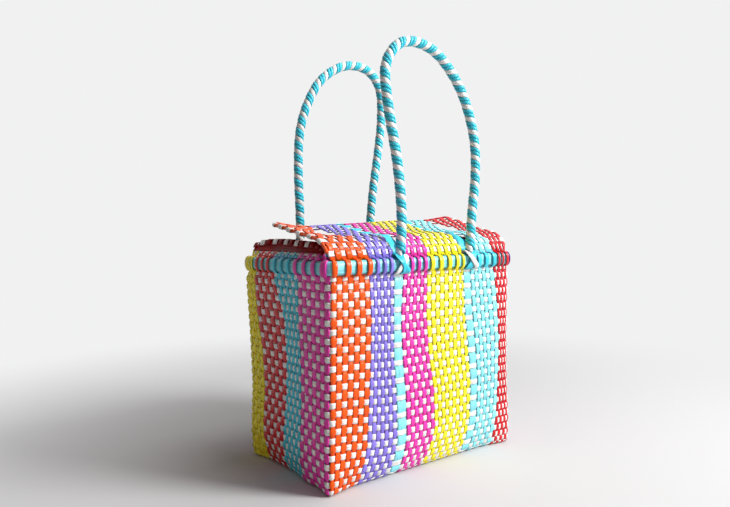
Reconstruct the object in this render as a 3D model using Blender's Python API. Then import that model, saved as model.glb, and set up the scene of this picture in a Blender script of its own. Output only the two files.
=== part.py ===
"""A box-shaped handbag woven from plastic strips, with a woven lid, side flaps and two tall wrapped handles.

Frame: +X runs along the front to the right, +Y from the front wall to the back wall, +Z is up.
The origin is on the ground, under the middle of the bag. All lengths are in metres.
"""

import math

import bmesh
import bpy
from mathutils import Matrix, Vector

# Body, measured over the outer faces of the woven walls
BODY_WIDTH = 0.305
BODY_DEPTH = 0.190
RIM_HEIGHT = 0.275
WALL_THICKNESS = 0.004
BASE_THICKNESS = 0.004
PLAN_RADIUS = 0.007
BASE_RADIUS = 0.006
CORNER_STEPS = 3

# Tuck: near the ground the walls lean in, least at the corners, most further along each wall
TUCK_HEIGHT = 0.045
TUCK_LEVELS = (0.010, 0.017, 0.025, 0.034, TUCK_HEIGHT)
TUCK_POWER = 2.2
TUCK_CORNER = 0.001
TUCK_FRONT = 0.010
TUCK_SIDE = 0.008
TUCK_REACH = 0.048
TUCK_STEPS = 3

# Clearance between pieces that touch
GAP = 0.0003

# Rim: a bundle of level strips outside the wall, and the wrap that ties it to the wall
RIM_BAND_HEIGHT = 0.0175
RIM_CORE_THICKNESS = 0.0032
RIM_WRAP_THICKNESS = 0.0012
RIM_INSIDE_DROP = 0.015
RIM_EDGE_EASE = 0.0012

# Carrying straps, which run down the front wall, under the base and up the back wall
STRAP_WIDTH = 0.0125
STRAP_THICKNESS = 0.0016
STRAP_RECESS = 0.00015
CHANNEL_PROUD = 0.002
# Centre line of each strap on the front and the back wall, from the ground up: height, then x before the tuck
STRAP_LINES = {
    ("front", "left"): (
        (0.0, -0.052), (0.025, -0.0475), (TUCK_HEIGHT, -0.0428), (0.100, -0.0430), (0.150, -0.0475),
        (0.200, -0.0485), (RIM_HEIGHT, -0.045),
    ),
    ("front", "right"): (
        (0.0, 0.073), (0.025, 0.079), (TUCK_HEIGHT, 0.0848), (0.100, 0.0875), (0.150, 0.082),
        (0.200, 0.077), (RIM_HEIGHT, 0.074),
    ),
    ("back", "left"): ((0.0, -0.053), (0.100, -0.060), (RIM_HEIGHT, -0.070)),
    ("back", "right"): ((0.0, 0.070), (0.100, 0.064), (RIM_HEIGHT, 0.054)),
}
STRAP_LEVELS = (0.100, 0.150, 0.200)

# Handles: arches of a round core in a wrapped sleeve, standing just outside the walls
FOOT_CENTRES = {
    ("front", "left"): -0.045,
    ("front", "right"): 0.077,
    ("back", "left"): -0.070,
    ("back", "right"): 0.054,
}
HANDLE_RADIUS = 0.0062
HANDLE_BORE_RADIUS = 0.0043
HANDLE_CORE_RADIUS = 0.0040
HANDLE_OUTSET = 0.002
HANDLE_AXIS_RISE = 0.0085
HANDLE_SIDES = 10
HANDLE_RINGS = 44
FRONT_HANDLE_LEAN = math.radians(1.5)
BACK_HANDLE_LEAN = math.radians(4.0)
# Centre line of each arch in its own plane: along X, then up from the foot axis
FRONT_HANDLE_LINE = (
    (-0.045, 0.0), (-0.042, 0.050), (-0.047, 0.111), (-0.059, 0.178), (-0.061, 0.224), (-0.040, 0.253),
    (-0.007, 0.260), (0.031, 0.247), (0.068, 0.207), (0.089, 0.152), (0.091, 0.100), (0.083, 0.048),
    (0.077, 0.0),
)
BACK_HANDLE_LINE = (
    (-0.070, 0.0), (-0.072, 0.050), (-0.076, 0.112), (-0.075, 0.162), (-0.064, 0.203), (-0.040, 0.242),
    (0.000, 0.266), (0.041, 0.265), (0.066, 0.240), (0.071, 0.195), (0.067, 0.145), (0.059, 0.080),
    (0.054, 0.0),
)

# Knots that lash the handle feet over the rim
KNOT_WIDTH = 0.020
KNOT_THICKNESS = 0.0018
KNOT_INSIDE_DROP = 0.012

# Lid: rises steeply from the front rim, then runs back, higher and shorter at the right
LID_THICKNESS = 0.0035
LID_HALF_WIDTH = 0.1475
LID_AXIS_INSET = 0.002
LID_AXIS_RISE = 0.0024
LID_RIGHT_LIFT = 0.006
LID_RIGHT_REACH = 0.89
LID_CORNER_RADIUS = 0.010
LID_COLUMNS = 8
# Side outline of the lid from its hinge axis: back, then up
LID_LINE = (
    (0.0, 0.0), (0.003, 0.009), (0.010, 0.017), (0.022, 0.0235), (0.040, 0.027), (0.065, 0.031),
    (0.093, 0.0375), (0.112, 0.0415), (0.124, 0.0435), (0.130, 0.044),
)
NOTCH_HALF_WIDTH = 0.0115
NOTCH_REACH = 0.026
SLOT_HALF_LENGTH = 0.030
SLOT_HALF_WIDTH = 0.010
SLOT_SLANT = -0.004
SLOT_MIDDLE_BACK = 0.077
SLOT_CENTRES_X = {"left": -0.107, "right": 0.108}
SLOT_STEPS = 8

# Side flaps, hinged along the side rims and leaning over the opening
FLAP_THICKNESS = 0.003
FLAP_AXIS_INSET = 0.0025
FLAP_AXIS_RISE = 0.002
FLAP_LEAN = math.radians(50.0)
FLAP_CURL = 0.0015
# Free edge of a flap: distance back from the outside of the front wall, then reach from the hinge axis
FLAP_OUTLINE = (
    (0.018, 0.016), (0.030, 0.021), (0.050, 0.023), (0.080, 0.024), (0.110, 0.026), (0.145, 0.026),
    (0.168, 0.024), (0.177, 0.020), (0.183, 0.012),
)

FRONT = -BODY_DEPTH / 2
BACK = BODY_DEPTH / 2
WALL_TOP = RIM_HEIGHT - RIM_WRAP_THICKNESS - GAP
RIM_OUTSET = GAP + RIM_CORE_THICKNESS + GAP + RIM_WRAP_THICKNESS

TURQUOISE = (0.10, 0.72, 0.85)
DEEP_TURQUOISE = (0.03, 0.45, 0.62)
WHITE = (0.88, 0.88, 0.86)
ORANGE = (0.95, 0.20, 0.03)
MAGENTA = (0.72, 0.03, 0.35)
YELLOW = (0.95, 0.85, 0.05)
DARK_RED = (0.45, 0.01, 0.02)
STRIP_ROUGHNESS = 0.35


def clear_scene():
    for obj in list(bpy.data.objects):
        bpy.data.objects.remove(obj, do_unlink=True)


def make_material(name, colour):
    material = bpy.data.materials.new(name)
    material.use_nodes = True
    shader = material.node_tree.nodes["Principled BSDF"]
    shader.inputs["Base Color"].default_value = (*colour, 1.0)
    shader.inputs["Roughness"].default_value = STRIP_ROUGHNESS
    shader.inputs["Metallic"].default_value = 0.0
    return material


def add_object(name, mesh_data, colour, parent=None):
    """Links an object with its own material. Its mesh is in its parent's frame."""
    obj = bpy.data.objects.new(name, mesh_data)
    bpy.context.scene.collection.objects.link(obj)
    obj.data.materials.append(make_material(name + "_strip", colour))
    obj.parent = parent
    return obj


def add_empty(name, location, rotation=(0.0, 0.0, 0.0)):
    empty = bpy.data.objects.new(name, None)
    bpy.context.scene.collection.objects.link(empty)
    empty.location = location
    empty.rotation_euler = rotation
    return empty


def finish_mesh(bm, name):
    bmesh.ops.recalc_face_normals(bm, faces=bm.faces)
    mesh_data = bpy.data.meshes.new(name)
    bm.to_mesh(mesh_data)
    bm.free()
    return mesh_data


def add_cutter(name, mesh_data):
    cutter = bpy.data.objects.new(name, mesh_data)
    bpy.context.scene.collection.objects.link(cutter)
    cutter.hide_render = True
    cutter.display_type = "WIRE"
    return cutter


def cut(obj, cutter, solver="EXACT"):
    modifier = obj.modifiers.new("cut_" + cutter.name, "BOOLEAN")
    modifier.operation = "DIFFERENCE"
    modifier.solver = solver
    modifier.object = cutter


def bridge(bm, loop_a, loop_b, closed=True):
    """Faces between two rows with the same number of vertices."""
    count = len(loop_a)
    for i in range(count if closed else count - 1):
        j = (i + 1) % count
        bm.faces.new((loop_a[i], loop_a[j], loop_b[j], loop_b[i]))


def ease(share):
    share = min(max(share, 0.0), 1.0)
    return share * share * (3 - 2 * share)


def tucked(x, y, z):
    """A point of the walls or the base, drawn in towards the middle by the tuck."""
    share = max(0.0, 1 - z / TUCK_HEIGHT) ** TUCK_POWER
    pull_x = TUCK_CORNER + (TUCK_SIDE - TUCK_CORNER) * ease((BODY_DEPTH / 2 - abs(y)) / TUCK_REACH)
    pull_y = TUCK_CORNER + (TUCK_FRONT - TUCK_CORNER) * ease((BODY_WIDTH / 2 - abs(x)) / TUCK_REACH)
    x *= 1 - share * pull_x / (BODY_WIDTH / 2)
    y *= 1 - share * pull_y / (BODY_DEPTH / 2)
    return Vector((x, y, z))


def plan_points(offset, wall_steps=0):
    """The body's rounded outline, moved out by an offset from the outer face, with points along its walls."""
    half_x, half_y = BODY_WIDTH / 2 + offset, BODY_DEPTH / 2 + offset
    radius = PLAN_RADIUS + offset
    steps = [TUCK_REACH * step / wall_steps for step in range(1, wall_steps + 1)]
    points = []
    for corner, (sx, sy) in enumerate(((1, 1), (-1, 1), (-1, -1), (1, -1))):
        for step in range(CORNER_STEPS + 1):
            angle = math.pi / 2 * (corner + step / CORNER_STEPS)
            x = sx * (half_x - radius) + radius * math.cos(angle)
            y = sy * (half_y - radius) + radius * math.sin(angle)
            points.append((x, y))
        if corner % 2 == 0:
            stations = [half_x - step for step in steps] + [step - half_x for step in reversed(steps)]
            points += [(sx * station, sy * half_y) for station in stations]
        else:
            stations = [half_y - step for step in steps] + [step - half_y for step in reversed(steps)]
            points += [(sx * half_x, sy * station) for station in stations]
    return points


def ring_mesh(name, section):
    """A closed ring round the body. The section's points are (offset from the wall's outer face, height)."""
    bm = bmesh.new()
    loops = [[bm.verts.new((x, y, z)) for x, y in plan_points(offset)] for offset, z in section]
    for i, loop in enumerate(loops):
        bridge(bm, loop, loops[(i + 1) % len(loops)])
    return finish_mesh(bm, name)


def arc_points(centre_offset, centre_z, radius, steps):
    """Quarter circle from straight down to straight out, as (offset, height)."""
    points = []
    for step in range(steps + 1):
        angle = math.pi / 2 * step / steps
        points.append((centre_offset + radius * math.sin(angle), centre_z - radius * math.cos(angle)))
    return points


def wall_profile(top, levels=()):
    """The outer face from the base to a height, as (offset, height), before the tuck."""
    profile = arc_points(-BASE_RADIUS, BASE_RADIUS, BASE_RADIUS, CORNER_STEPS)
    return profile + [(0.0, z) for z in (*TUCK_LEVELS, *levels, top)]


def make_woven_body():
    inner_radius = BASE_RADIUS - WALL_THICKNESS
    inner = arc_points(-BASE_RADIUS, BASE_THICKNESS + inner_radius, inner_radius, CORNER_STEPS)
    inner += [(-WALL_THICKNESS, z) for z in (*TUCK_LEVELS, WALL_TOP)]
    profile = wall_profile(WALL_TOP) + inner[::-1]
    bm = bmesh.new()
    loops = []
    for offset, z in profile:
        loops.append([bm.verts.new(tucked(x, y, z)) for x, y in plan_points(offset, TUCK_STEPS)])
    for lower, upper in zip(loops, loops[1:]):
        bridge(bm, lower, upper)
    bm.faces.new(loops[0])
    bm.faces.new(loops[-1])
    return add_object("woven_body", finish_mesh(bm, "woven_body"), MAGENTA)


def make_rim():
    band_bottom = RIM_HEIGHT - RIM_BAND_HEIGHT
    core = (
        (GAP, band_bottom + GAP), (GAP, WALL_TOP),
        (GAP + RIM_CORE_THICKNESS, WALL_TOP - RIM_EDGE_EASE),
        (GAP + RIM_CORE_THICKNESS, band_bottom + RIM_EDGE_EASE),
    )
    add_object("rim_core", ring_mesh("rim_core", core), TURQUOISE)

    outside = RIM_OUTSET
    skin = RIM_OUTSET - RIM_WRAP_THICKNESS
    inside_skin = -WALL_THICKNESS - GAP
    inside = inside_skin - RIM_WRAP_THICKNESS
    inside_bottom = RIM_HEIGHT - RIM_INSIDE_DROP
    wrap = (
        (GAP, band_bottom), (skin, band_bottom), (skin, RIM_HEIGHT - RIM_WRAP_THICKNESS),
        (inside_skin, RIM_HEIGHT - RIM_WRAP_THICKNESS), (inside_skin, inside_bottom),
        (inside, inside_bottom), (inside, RIM_HEIGHT - RIM_EDGE_EASE),
        (inside + RIM_EDGE_EASE, RIM_HEIGHT), (outside - RIM_EDGE_EASE, RIM_HEIGHT),
        (outside, RIM_HEIGHT - RIM_EDGE_EASE), (outside, band_bottom - RIM_WRAP_THICKNESS / 2),
        (GAP, band_bottom - RIM_WRAP_THICKNESS),
    )
    add_object("rim_wrap", ring_mesh("rim_wrap", wrap), YELLOW)


def value_at(line, place):
    """The value at a place on a line of (place, value) points with rising places."""
    for (low, low_value), (high, high_value) in zip(line, line[1:]):
        if place <= high:
            return low_value + (high_value - low_value) * (place - low) / (high - low)
    return line[-1][1]


def strap_stations(side, top):
    """Stations down the front wall, under the base and up the back wall: surface point, outward normal."""
    profile = wall_profile(top, STRAP_LEVELS)
    front_line, back_line = STRAP_LINES["front", side], STRAP_LINES["back", side]
    points = [tucked(value_at(front_line, z), FRONT - offset, z) for offset, z in reversed(profile)]
    points += [tucked(value_at(back_line, z), BACK + offset, z) for offset, z in profile]
    stations = []
    for i, point in enumerate(points):
        behind = point - points[i - 1] if i > 0 else points[1] - points[0]
        ahead = points[i + 1] - point if i + 1 < len(points) else behind
        along = behind.normalized() + ahead.normalized()
        stations.append((point, Vector((0, along.z, -along.y)).normalized()))
    return stations


def strap_mesh(name, stations, width, outer, inner):
    """A flat strip that follows the stations, between two distances along their outward normals."""
    bm = bmesh.new()
    rows = []
    for point, normal in stations:
        corners = ((-width / 2, outer), (width / 2, outer), (width / 2, inner), (-width / 2, inner))
        rows.append([bm.verts.new(point + Vector((dx, 0, 0)) + normal * reach) for dx, reach in corners])
    for row_a, row_b in zip(rows, rows[1:]):
        bridge(bm, row_a, row_b)
    bm.faces.new(rows[0])
    bm.faces.new(rows[-1])
    return finish_mesh(bm, name)


def make_straps(woven_body):
    """Each strap lies in a shallow channel of the weave, flush with the walls and clear of the ground."""
    strap_top = RIM_HEIGHT - RIM_BAND_HEIGHT - RIM_WRAP_THICKNESS - 2 * GAP
    depth = STRAP_RECESS + STRAP_THICKNESS
    for side in ("left", "right"):
        name = side + "_carrying_strap"
        stations = strap_stations(side, strap_top)
        add_object(name, strap_mesh(name, stations, STRAP_WIDTH, -STRAP_RECESS, -depth), TURQUOISE)
        channel = strap_stations(side, strap_top + GAP)
        width = STRAP_WIDTH + 2 * GAP
        channel_mesh = strap_mesh(name + "_channel", channel, width, CHANNEL_PROUD, -depth - GAP)
        cut(woven_body, add_cutter(name + "_channel", channel_mesh), solver="MANIFOLD")


def make_knots():
    """Lashings that grip the rim under each handle foot: a hooked section drawn out along the wall."""
    near = RIM_OUTSET + GAP
    far = near + KNOT_THICKNESS
    inside = -WALL_THICKNESS - GAP - RIM_WRAP_THICKNESS - GAP
    inside_far = inside - KNOT_THICKNESS
    top = RIM_HEIGHT + GAP
    bottom = RIM_HEIGHT - RIM_BAND_HEIGHT - RIM_WRAP_THICKNESS
    inside_bottom = RIM_HEIGHT - KNOT_INSIDE_DROP
    section = (
        (near, bottom), (near, top), (inside, top), (inside, inside_bottom), (inside_far, inside_bottom),
        (inside_far, top), (inside_far + KNOT_THICKNESS, top + KNOT_THICKNESS),
        (near, top + KNOT_THICKNESS), (far, top), (far, bottom),
    )
    for (wall, side), x in FOOT_CENTRES.items():
        facing = -1 if wall == "front" else 1
        bm = bmesh.new()
        rows = []
        for end in (-KNOT_WIDTH / 2, KNOT_WIDTH / 2):
            rows.append([bm.verts.new((x + end, facing * (BODY_DEPTH / 2 + u), z)) for u, z in section])
        bridge(bm, rows[0], rows[1])
        bm.faces.new(rows[0])
        bm.faces.new(rows[1])
        name = wall + "_" + side + "_handle_knot"
        add_object(name, finish_mesh(bm, name), DEEP_TURQUOISE)


def curve_through(points, count):
    """Evenly numbered points on a smooth curve through the given ones."""
    control = [Vector(p) for p in points]
    control = [2 * control[0] - control[1]] + control + [2 * control[-1] - control[-2]]
    spans = len(control) - 3
    line = []
    for i in range(count):
        place = spans * i / (count - 1)
        k = min(int(place), spans - 1)
        t = place - k
        p0, p1, p2, p3 = control[k:k + 4]
        line.append(0.5 * (2 * p1 + (p2 - p0) * t + (2 * p0 - 5 * p1 + 4 * p2 - p3) * t * t
                           + (3 * p1 - p0 - 3 * p2 + p3) * t ** 3))
    return line


def sweep_rows(bm, line, radii):
    """Rings of vertices round a line that lies in the XZ plane."""
    rows = []
    across = Vector((0, 1, 0))
    for i, (point, radius) in enumerate(zip(line, radii)):
        ahead = line[min(i + 1, len(line) - 1)] - line[max(i - 1, 0)]
        tangent = ahead.normalized()
        up = tangent.cross(across)
        ring = []
        for k in range(HANDLE_SIDES):
            angle = 2 * math.pi * k / HANDLE_SIDES
            ring.append(bm.verts.new(point + radius * (math.cos(angle) * across + math.sin(angle) * up)))
        rows.append(ring)
    return rows


def with_round_ends(line, radius, least):
    """The line lengthened by domed ends that narrow to the least radius, with a radius per point."""
    reach = math.acos(least / radius)
    steps = [reach * k / 2 for k in (1, 2)]
    start, end = (line[0] - line[1]).normalized(), (line[-1] - line[-2]).normalized()
    head = [line[0] + start * radius * math.sin(a) for a in reversed(steps)]
    tail = [line[-1] + end * radius * math.sin(a) for a in steps]
    dome = [radius * math.cos(a) for a in steps]
    return head + line + tail, dome[::-1] + [radius] * len(line) + dome


def make_handle(name, outline, location, lean, colour):
    """A core rod inside a wrapped sleeve. Both turn about the empty, on the line through the feet."""
    axis = add_empty(name + "_axis", location, (lean, 0, 0))
    line = [Vector((p.x, 0, p.y)) for p in curve_through(outline, HANDLE_RINGS)]

    outer_line, outer_radii = with_round_ends(line, HANDLE_RADIUS, HANDLE_BORE_RADIUS + 2 * GAP)
    bm = bmesh.new()
    outer_rows = sweep_rows(bm, outer_line, outer_radii)
    inner_rows = sweep_rows(bm, outer_line, [HANDLE_BORE_RADIUS] * len(outer_line))
    for rows in (outer_rows, inner_rows):
        for row_a, row_b in zip(rows, rows[1:]):
            bridge(bm, row_a, row_b)
    bridge(bm, outer_rows[0], inner_rows[0])
    bridge(bm, outer_rows[-1], inner_rows[-1])
    add_object(name + "_wrap", finish_mesh(bm, name + "_wrap"), colour, axis)

    core_line, core_radii = with_round_ends(line, HANDLE_CORE_RADIUS, HANDLE_CORE_RADIUS / 2)
    bm = bmesh.new()
    core_rows = sweep_rows(bm, core_line, core_radii)
    for row_a, row_b in zip(core_rows, core_rows[1:]):
        bridge(bm, row_a, row_b)
    bm.faces.new(core_rows[0])
    bm.faces.new(core_rows[-1])
    add_object(name + "_core", finish_mesh(bm, name + "_core"), WHITE, axis)


def make_handles():
    foot_y = BODY_DEPTH / 2 + HANDLE_OUTSET
    foot_z = RIM_HEIGHT + HANDLE_AXIS_RISE
    make_handle("front_handle", FRONT_HANDLE_LINE, (0, -foot_y, foot_z), -FRONT_HANDLE_LEAN, TURQUOISE)
    make_handle("back_handle", BACK_HANDLE_LINE, (0, foot_y, foot_z), BACK_HANDLE_LEAN, TURQUOISE)


def sheet_mesh(name, grid):
    """An open sheet through rows of points."""
    bm = bmesh.new()
    rows = [[bm.verts.new(point) for point in row] for row in grid]
    for row_a, row_b in zip(rows, rows[1:]):
        bridge(bm, row_a, row_b, closed=False)
    return finish_mesh(bm, name)


def thicken(obj, thickness):
    modifier = obj.modifiers.new("thickness", "SOLIDIFY")
    modifier.thickness = thickness
    modifier.offset = 0.0
    modifier.use_even_offset = True


def prism_mesh(name, outline, low, high):
    """An upright prism on an outline of (x, y) points."""
    bm = bmesh.new()
    rows = [[bm.verts.new((x, y, z)) for x, y in outline] for z in (low, high)]
    bridge(bm, rows[0], rows[1])
    bm.faces.new(rows[0])
    bm.faces.new(rows[1])
    return finish_mesh(bm, name)


def lid_half_width(back):
    """The lid narrows round its two far corners."""
    past = back - (LID_LINE[-1][0] - LID_CORNER_RADIUS)
    if past <= 0:
        return LID_HALF_WIDTH
    return LID_HALF_WIDTH - LID_CORNER_RADIUS + math.sqrt(max(LID_CORNER_RADIUS ** 2 - past ** 2, 0.0))


def make_lid():
    """The lid's origin is on its hinge axis, along the top of the front rim."""
    reach = LID_LINE[-1][0]
    grid = []
    for back, up in LID_LINE:
        half = lid_half_width(back)
        row = []
        for column in range(LID_COLUMNS + 1):
            share = 2 * column / LID_COLUMNS - 1
            lift = LID_RIGHT_LIFT * share * back / reach
            shorten = 1 - (1 - LID_RIGHT_REACH) * (share + 1) / 2
            row.append(Vector((share * half, back * shorten, up + lift)))
        grid.append(row)
    lid = add_object("lid_panel", sheet_mesh("lid_panel", grid), ORANGE)
    lid.location = (0, FRONT + LID_AXIS_INSET, RIM_HEIGHT + LID_AXIS_RISE)
    thicken(lid, LID_THICKNESS)

    low, high = RIM_HEIGHT - RIM_BAND_HEIGHT, RIM_HEIGHT + 2 * LID_LINE[-1][1]
    for side in ("left", "right"):
        x = FOOT_CENTRES["front", side]
        near, far = lid.location.y - NOTCH_REACH, lid.location.y + NOTCH_REACH
        left, right = x - NOTCH_HALF_WIDTH, x + NOTCH_HALF_WIDTH
        outline = ((left, near), (right, near), (right, far), (left, far))
        cut(lid, add_cutter(side + "_lid_notch", prism_mesh(side + "_lid_notch", outline, low, high)))
    for side, x in SLOT_CENTRES_X.items():
        outline = []
        for edge in (1, -1):
            for step in range(SLOT_STEPS):
                along = edge * (1 - 2 * step / SLOT_STEPS)
                swell = edge * SLOT_HALF_WIDTH * (1 - along ** 2)
                outline.append((
                    x + SLOT_SLANT * along + swell,
                    lid.location.y + SLOT_MIDDLE_BACK + SLOT_HALF_LENGTH * along,
                ))
        cut(lid, add_cutter(side + "_lid_slot", prism_mesh(side + "_lid_slot", outline, low, high)))


def make_flaps():
    """Each flap's origin is on its hinge axis, along the inner top edge of a side rim."""
    for side, facing in (("left", -1), ("right", 1)):
        grid = []
        for back, reach in FLAP_OUTLINE:
            row = []
            for share in (0.0, 0.5, 1.0):
                along = reach * share
                sag = FLAP_CURL * math.sin(math.pi * share)
                inward = along * math.cos(FLAP_LEAN) + sag * math.sin(FLAP_LEAN)
                up = along * math.sin(FLAP_LEAN) - sag * math.cos(FLAP_LEAN)
                row.append(Vector((-facing * inward, FRONT + back, up)))
            grid.append(row)
        flap = add_object(side + "_side_flap", sheet_mesh(side + "_side_flap", grid), DARK_RED)
        flap.location = (facing * (BODY_WIDTH / 2 - FLAP_AXIS_INSET), 0, RIM_HEIGHT + FLAP_AXIS_RISE)
        thicken(flap, FLAP_THICKNESS)


def shade_round_pieces():
    for obj in bpy.data.objects:
        if obj.type == "MESH" and "handle" in obj.name and "knot" not in obj.name:
            obj.data.shade_smooth()


def main():
    clear_scene()
    woven_body = make_woven_body()
    make_rim()
    make_straps(woven_body)
    make_knots()
    make_handles()
    make_lid()
    make_flaps()
    shade_round_pieces()


main()
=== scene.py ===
"""Looks of the woven handbag: each of its strips is a ribbon, woven over and under the others."""
import math

import bpy
import numpy as np
from mathutils import Matrix, Vector


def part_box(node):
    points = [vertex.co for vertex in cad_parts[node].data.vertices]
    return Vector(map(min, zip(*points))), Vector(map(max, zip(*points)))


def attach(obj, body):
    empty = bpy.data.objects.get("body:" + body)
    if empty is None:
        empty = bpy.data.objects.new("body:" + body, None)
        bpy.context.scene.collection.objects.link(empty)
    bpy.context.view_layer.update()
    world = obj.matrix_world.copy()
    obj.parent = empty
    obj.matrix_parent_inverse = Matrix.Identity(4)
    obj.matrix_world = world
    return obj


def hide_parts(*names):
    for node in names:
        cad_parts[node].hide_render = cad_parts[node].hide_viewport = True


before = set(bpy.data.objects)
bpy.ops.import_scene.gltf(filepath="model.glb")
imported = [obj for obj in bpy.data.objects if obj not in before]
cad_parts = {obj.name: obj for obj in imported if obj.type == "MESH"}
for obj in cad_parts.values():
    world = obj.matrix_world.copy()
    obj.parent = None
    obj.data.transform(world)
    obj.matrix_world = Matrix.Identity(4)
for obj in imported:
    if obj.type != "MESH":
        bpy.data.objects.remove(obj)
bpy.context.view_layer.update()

MM = 0.001

# The body as built: outer faces of the walls, and the tuck that draws them in near the ground
HALF_X, HALF_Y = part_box("woven_body")[1].xy
RIM_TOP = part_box("rim_wrap")[1].z
PLAN_RADIUS = 7 * MM
BASE_RADIUS = 6 * MM
TUCK_HEIGHT = 45 * MM
TUCK_POWER = 2.2
TUCK_CORNER, TUCK_FRONT, TUCK_SIDE = 1 * MM, 10 * MM, 8 * MM
TUCK_REACH = 48 * MM
# The lower edge of the left wall is hardly drawn in near one place
SAG, SAG_Y, SAG_WIDTH = 0.7, -38 * MM, 20 * MM
# The near left corner leans right at the top and left at the ground
TWIST = 3.5 * MM
TWIST_LEVEL = 137 * MM
# The right end and the far left corner bulge: heights, and how far they stand out there, in mm
SWELL_HEIGHTS = (0, 36, 100, 166, 232, 248, 257)
RIGHT_SWELL = (9, 9, 5.5, 5.5, 8, 7, 4)
FAR_SWELL = (3, 4, 2, 3.4, 5.8, 6, 1.5)
SWELL_FROM = 110 * MM

FLAT_X, FLAT_Y = HALF_X - PLAN_RADIUS, HALF_Y - PLAN_RADIUS
ARC = PLAN_RADIUS * math.pi / 2
PERIMETER = 4 * (FLAT_X + FLAT_Y + ARC)
# Places round the plan, from the middle of the front to the right: corners, and middles of the other walls
NEAR_RIGHT = FLAT_X + ARC / 2
FAR_RIGHT = NEAR_RIGHT + ARC + 2 * FLAT_Y
RIGHT_MIDDLE = FLAT_X + ARC + FLAT_Y
BACK_MIDDLE = 2 * RIGHT_MIDDLE
# Where a wall's face meets the flat of the base, and where its strips end under the rim
V_FOOT = BASE_RADIUS * (1 - math.pi / 2)
V_TOP = 268 * MM

# Strips swing between the two faces of the wall, in so many steps from crossing to crossing
WEAVE_MIDDLE = -1.8 * MM
SWING = 1.1 * MM
STRIP_THICKNESS = 1.1 * MM
STEPS = 6
ROWS, UPPER_ROWS = 25, 13
# Warp widths: share of the pitch between crossings, gain at one, more gain below a narrow pitch, and its fade
WALL_WARP_WIDTHS = (0.9, 0.29, 0.14, 7.5 * MM, 3 * MM)
LID_WARP_WIDTHS = (0.95, 0.31, 0.13, 7 * MM, 2 * MM)
WARP_MAX_WIDTH = 15.5 * MM
WEFT_WIDTH, WEFT_WAIST = 7.5 * MM, 0.1
WEFT_END = 0.06

# Warps by colour. The front ones run on under the base and up the back, the side ones from left to right wall
FRONT_COLUMNS = (
    ("orange", 7), ("purple", 7), ("left_strap", 1), ("pink", 7), ("yellow", 10), ("right_strap", 1),
    ("turquoise", 6), ("red", 7),
)
SIDE_COLUMNS = (("pink", 7), ("turquoise", 7), ("red", 6), ("yellow", 4))
FRONT_NAMES, SIDE_NAMES = (
    [name for name, count in columns for number in range(count)] for columns in (FRONT_COLUMNS, SIDE_COLUMNS))
NAMES_AROUND = FRONT_NAMES + SIDE_NAMES + FRONT_NAMES[::-1] + SIDE_NAMES[::-1]
FRONT_COUNT, SIDE_COUNT, AROUND = len(FRONT_NAMES), len(SIDE_NAMES), len(NAMES_AROUND)
LEFT_STRAP, RIGHT_STRAP = FRONT_NAMES.index("left_strap"), FRONT_NAMES.index("right_strap")
FAR_LEFT = 2 * FRONT_COUNT + SIDE_COUNT
# The yellow wefts run between these warps, counted round the plan
YELLOW_WEFTS = (FAR_LEFT - 2, FAR_LEFT + 3)

# Where the colours meet on each wall, between its ends, in mm: one row for each height
FRONT_END, SIDE_END, LID_END = 150, 92.6, 147.5
FRONT_EDGES = {
    275: (-91, -53.5, -37, 2, 67, 81, 124),
    257: (-91.5, -54, -37, 2, 67, 81, 125),
    200: (-89, -55, -42, 0, 69, 85, 132),
    150: (-91, -55.5, -40, 3.5, 75, 91, 135),
    100: (-94, -52, -35, 12, 80, 95, 133),
    50: (-98, -51, -34.5, 13.5, 77.5, 92, 129),
    18: (-105, -57.5, -40, 2, 69, 85, 124.5),
    0: (-107, -61, -43, -6, 65, 82, 124),
}
BACK_EDGES = {
    275: (-116, -78.5, -61.5, -18, 46, 62, 106),
    100: (-110, -68, -51, -8, 56, 72, 112),
    0: (-107, -61, -44, -2, 63, 79, 120),
}
LEFT_EDGES = {
    275: (-26.5, 30, 72), 250: (-26.5, 27, 71), 200: (-27, 6, 69), 150: (-31.5, 1.5, 59.5),
    100: (-31.5, 4, 57.5), 50: (-28, 12, 60.5), 20: (-27, 15, 57), 5: (-31, 14, 57),
}
RIGHT_EDGES = {275: (-38, 16, 62), 0: (-36, 14, 58)}
# The last four yellow warps are crowded near the top: shares of the usual pitch
CROWDED = (1, 1, 1, 1, 1, 1, 0.81, 0.71, 0.59, 0.5)
CROWD_LOW, CROWD_HIGH = 120 * MM, 220 * MM

# Heights of every second row, in mm, from the top: by the straps, and round the near left corner
STRAP_ROWS = (254, 232, 210, 188, 166, 143.5, 121, 99, 77, 55, 36, 16.5, 1.0)
CORNER_ROWS = (254, 233.5, 213, 192, 171, 149.5, 128, 107, 86.5, 66, 45.5, 24.5, 4.0)
CORNER_ROWS_END = -45 * MM
SOLVE_ROUNDS = 4

SEED = 7
random = np.random.default_rng(SEED)
scene = bpy.context.scene


def add_object(name, data):
    obj = bpy.data.objects.new(name, data)
    scene.collection.objects.link(obj)
    return obj


# Materials

def srgb(*values):
    """8-bit display values, turned into a linear colour."""
    shares = [value / 255 for value in values]
    return (*(share / 12.92 if share <= 0.04045 else ((share + 0.055) / 1.055) ** 2.4 for share in shares), 1.0)


# As 8-bit display values
COLOURS = {
    "orange": (252, 88, 4),
    "purple": (138, 122, 222),
    "pink": (238, 60, 174),
    "yellow": (253, 238, 40),
    "turquoise": (64, 204, 226),
    "red": (216, 30, 42),
    # Painted shade: the flaps' red is darker than the walls' red, standing for the shade the lid casts on the flaps
    "shade_darkened_red": (146, 4, 8),
    "white": (240, 240, 236),
    "pale_turquoise": (144, 234, 245),
}
PLASTIC_ROUGHNESS, PLASTIC_GLOSS, DARK_GLOSS = 0.27, 0.28, 0.04
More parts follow.
